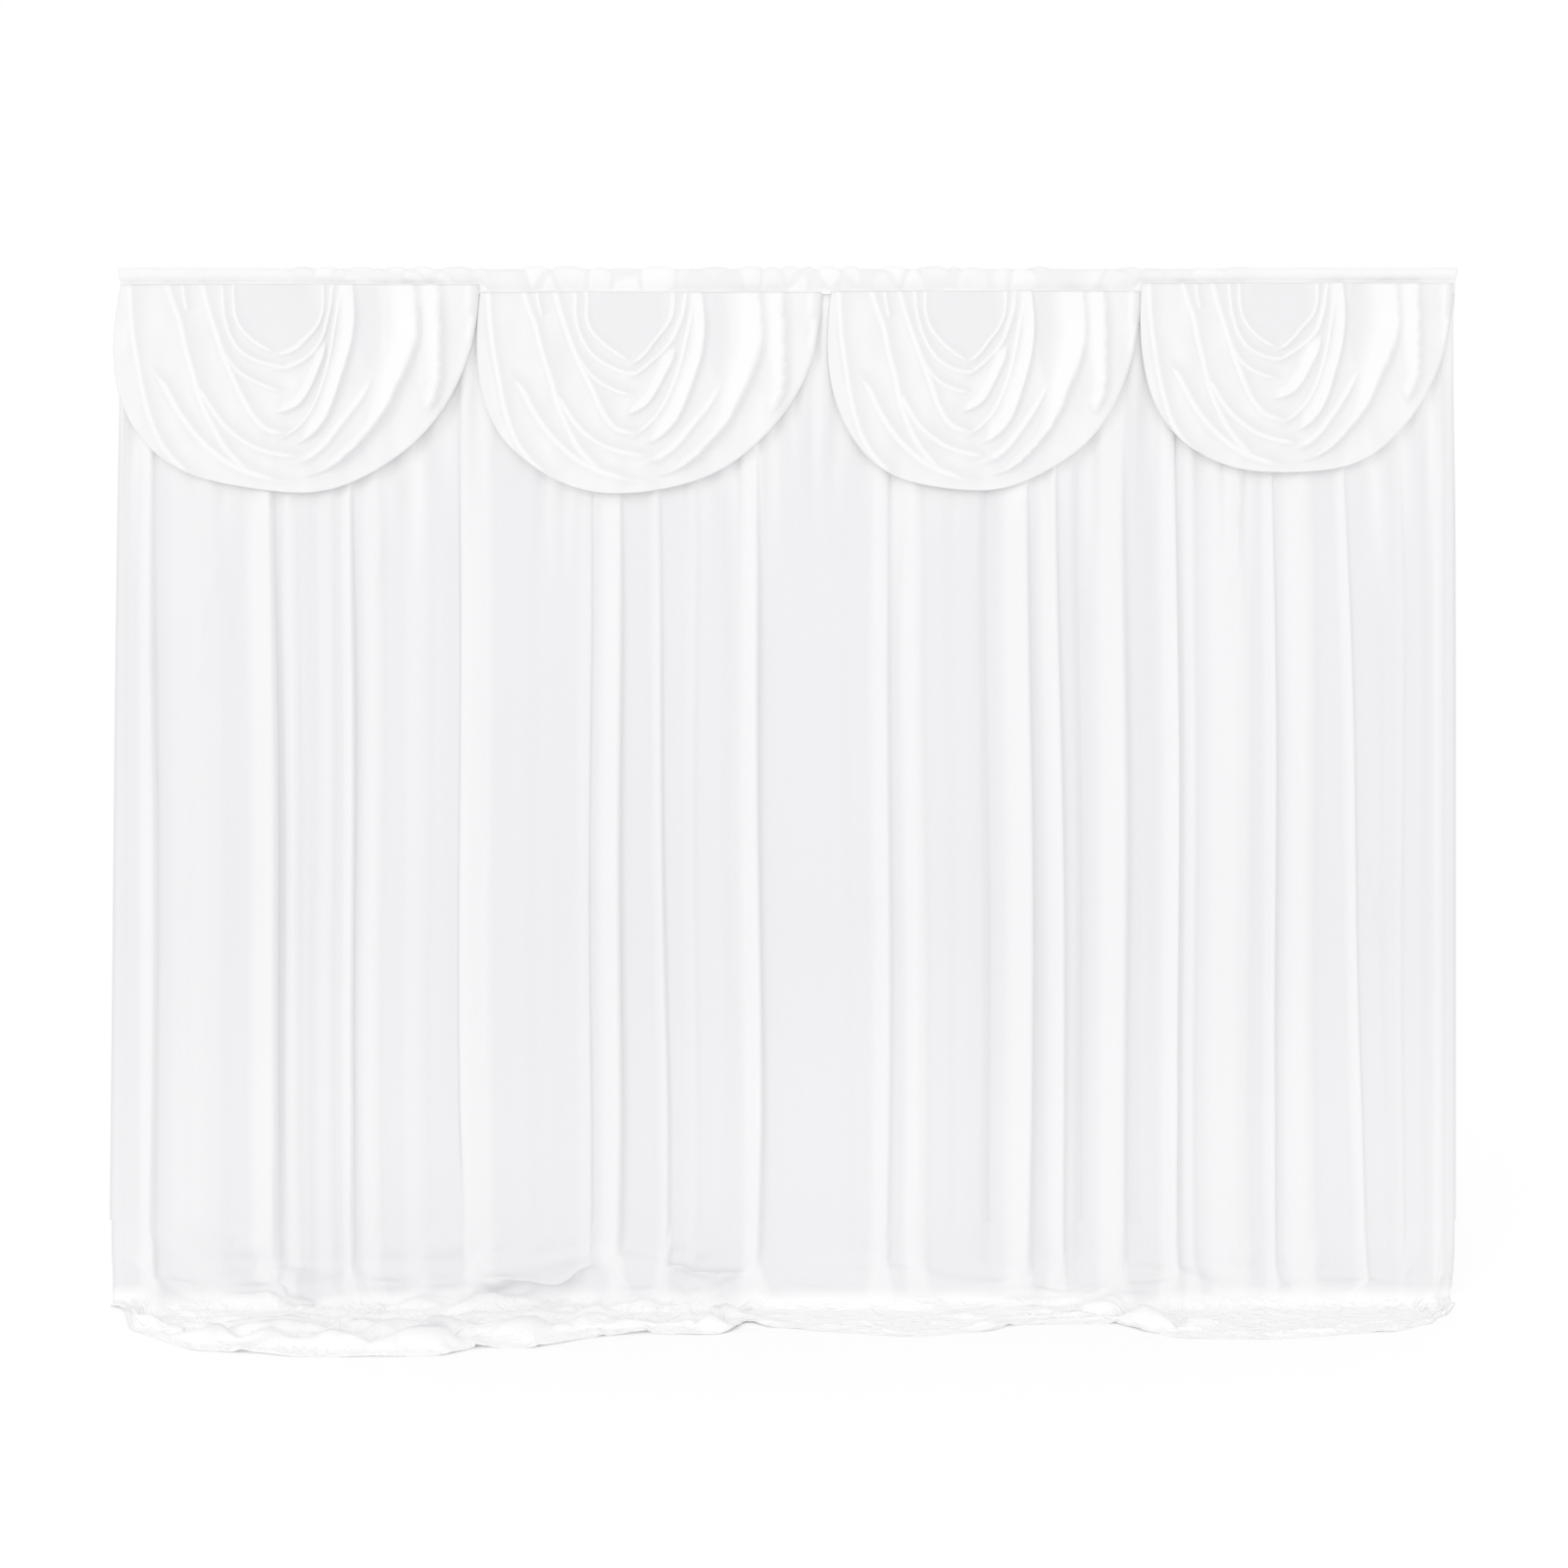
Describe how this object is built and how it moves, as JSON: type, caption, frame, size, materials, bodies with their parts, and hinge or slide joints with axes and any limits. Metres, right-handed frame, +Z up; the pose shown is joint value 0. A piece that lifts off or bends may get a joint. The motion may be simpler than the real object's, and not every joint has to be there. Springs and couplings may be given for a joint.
{
  "type": "backdrop curtain",
  "caption": "Wide white backdrop curtain with a rod pocket, uneven hung folds, a hem that trails on the floor and half-moon swags sewn along the top.",
  "frame": {"origin": "middle of the top edge of the rod pocket", "axes": "+X along the curtain's width, to the viewer's right; +Y towards the back; +Z up"},
  "size_m": [3.9693, 0.482, 3.0498],
  "materials": {
    "curtain_cloth": "smooth white knitted polyester with a soft sheen",
    "heading_cloth": "the same white cloth, gathered and stitched",
    "swag_cloth": "the same white cloth, with a satin sheen on its folds"
  },
  "bodies": {
    "root": {"curtain": "curtain_cloth", "heading": "heading_cloth", "swag_1": "swag_cloth", "swag_2": "swag_cloth", "swag_3": "swag_cloth", "swag_4": "swag_cloth"}
  },
  "joints": []
}
